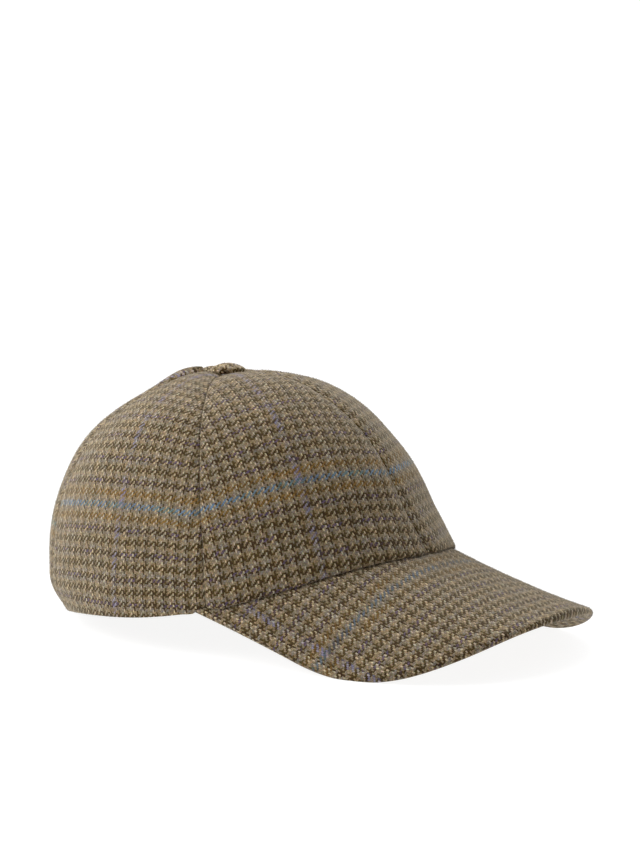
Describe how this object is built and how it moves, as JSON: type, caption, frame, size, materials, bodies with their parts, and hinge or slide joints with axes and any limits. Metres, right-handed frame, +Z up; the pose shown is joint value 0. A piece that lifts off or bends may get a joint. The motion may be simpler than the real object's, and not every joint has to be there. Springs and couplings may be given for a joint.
{
  "type": "wool tweed cap",
  "caption": "Unworn wool tweed cap with a seamed dome crown, a stiff curved peak and a covered button, resting on its peak and the back of its rim.",
  "frame": {"origin": "centre of the bounding box's bottom face, on the surface that the cap rests on", "axes": "+Z up, the peak points to -Y, the wearer's right is -X"},
  "size_m": [0.176, 0.2924, 0.1289],
  "materials": {
    "crown_tweed": "brushed wool tweed, check of olive brown and beige",
    "peak_tweed": "brushed wool tweed over a stiff board",
    "button_tweed": "brushed wool tweed drawn over a button"
  },
  "bodies": {
    "root": {"front_right_panel": "crown_tweed", "front_left_panel": "crown_tweed", "side_right_panel": "crown_tweed", "side_left_panel": "crown_tweed", "back_right_panel": "crown_tweed", "back_left_panel": "crown_tweed", "peak": "peak_tweed", "button": "button_tweed"}
  },
  "joints": []
}
